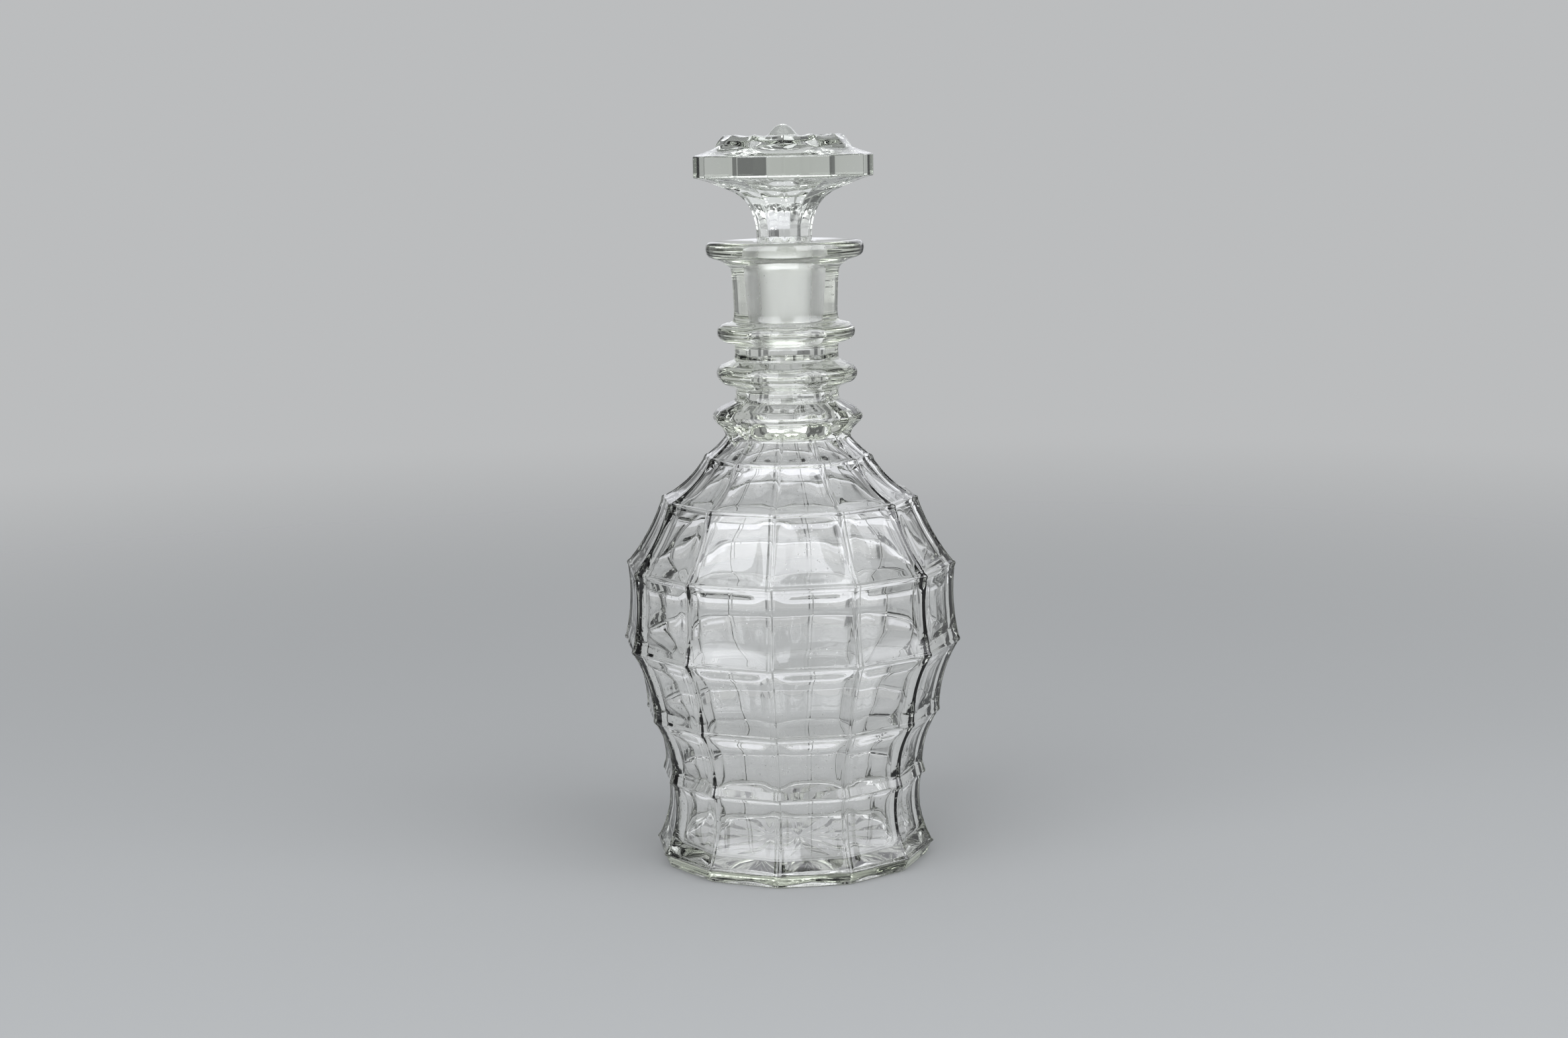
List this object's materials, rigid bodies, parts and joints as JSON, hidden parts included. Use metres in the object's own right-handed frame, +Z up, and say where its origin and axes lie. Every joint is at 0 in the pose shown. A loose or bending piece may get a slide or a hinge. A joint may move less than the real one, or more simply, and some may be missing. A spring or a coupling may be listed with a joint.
{
  "type": "port decanter",
  "caption": "Faceted moulded glass decanter with hollow panels, a ringed neck, a broad pouring lip, a star base and a lift-out ground glass stopper.",
  "frame": {"origin": "centre of the face that the decanter stands on", "axes": "+Z up along the axis of the decanter; -Y towards the panel that the picture shows nearest the middle"},
  "size_m": [0.116, 0.116, 0.26],
  "materials": {
    "body_glass": "clear fire-polished moulded glass with a faint grey-green cast, ground matt in the mouth",
    "stopper_glass": "clear glass with polished facets and a matt ground plug"
  },
  "bodies": {
    "decanter": {"decanter_body": "body_glass"},
    "stopper": {"stopper": "stopper_glass"}
  },
  "joints": [
    {"name": "stopper_lift", "type": "slide", "parent": "decanter", "child": "stopper", "axis": [0, 0, 1], "range_m": [0, 0.06]}
  ]
}
